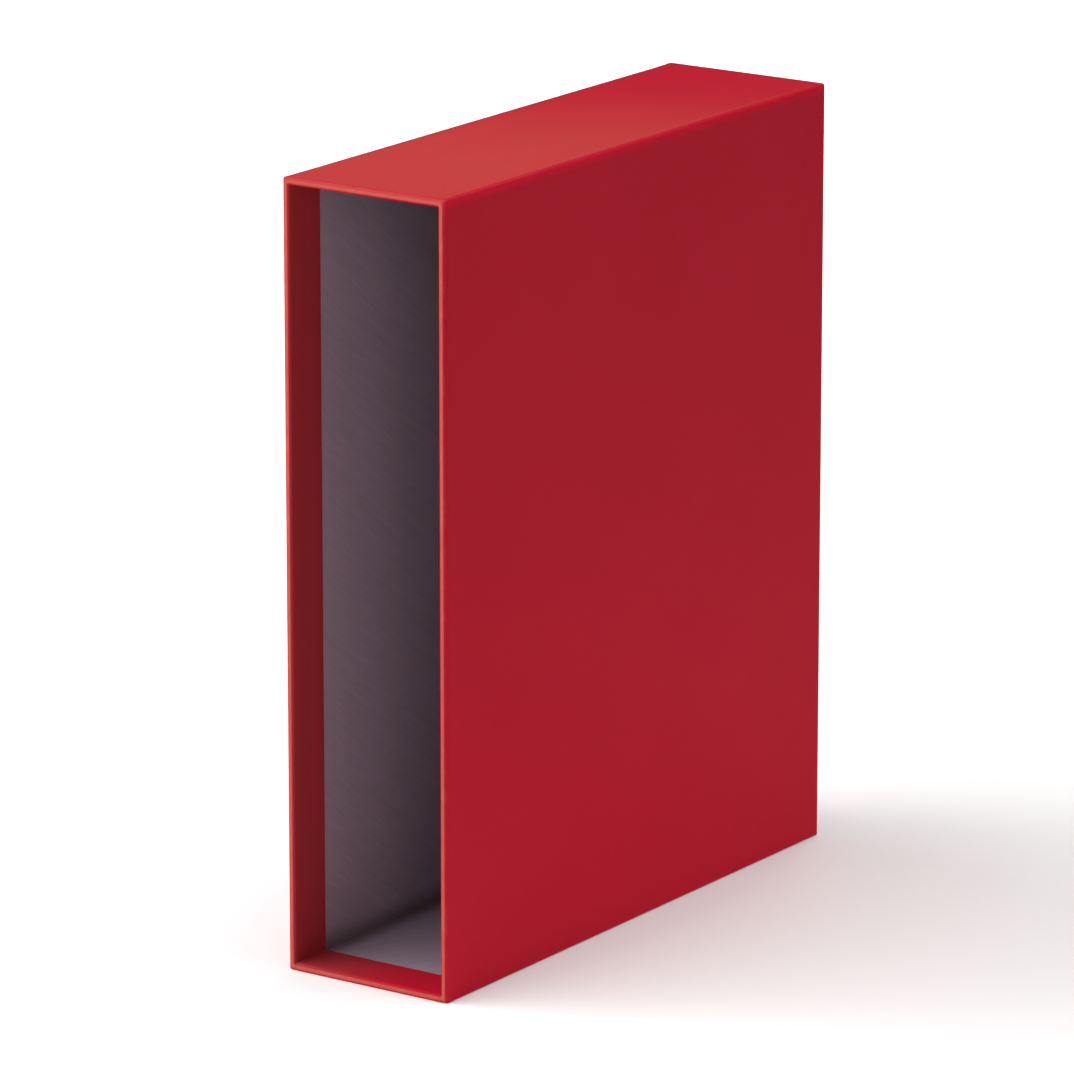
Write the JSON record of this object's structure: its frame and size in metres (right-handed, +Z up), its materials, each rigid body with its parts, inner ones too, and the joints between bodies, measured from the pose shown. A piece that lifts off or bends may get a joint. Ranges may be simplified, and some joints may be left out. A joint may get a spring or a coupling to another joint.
{
  "type": "binder slipcase",
  "caption": "Upright rectangular slipcase of wrapped greyboard, open on one narrow face, with the cover paper turned in round the mouth and a thin paper lining.",
  "frame": {"origin": "centre of the underside of the wrapped case", "axes": "+Z up, -Y out of the open mouth, +Y to the closed back, +X to the big side seen at the right of the picture"},
  "size_m": [0.082, 0.29, 0.345],
  "materials": {
    "cover_paper": "satin laminated red paper",
    "lining_paper": "uncoated grey-violet paper with fine fibres",
    "greyboard": "uncoated grey recycled board",
    "joint_tape": "brown gummed kraft paper"
  },
  "bodies": {
    "root": {"left_side_board": "greyboard", "right_side_board": "greyboard", "top_board": "greyboard", "base_board": "greyboard", "back_board": "greyboard", "top_left_tape": "joint_tape", "top_right_tape": "joint_tape", "base_left_tape": "joint_tape", "base_right_tape": "joint_tape", "back_left_tape": "joint_tape", "back_right_tape": "joint_tape", "back_top_tape": "joint_tape", "back_base_tape": "joint_tape", "outer_wrap": "cover_paper", "base_sheet": "cover_paper", "back_sheet": "cover_paper", "left_lining": "lining_paper", "right_lining": "lining_paper", "floor_lining": "lining_paper", "top_lining": "lining_paper", "back_lining": "lining_paper"}
  },
  "joints": []
}
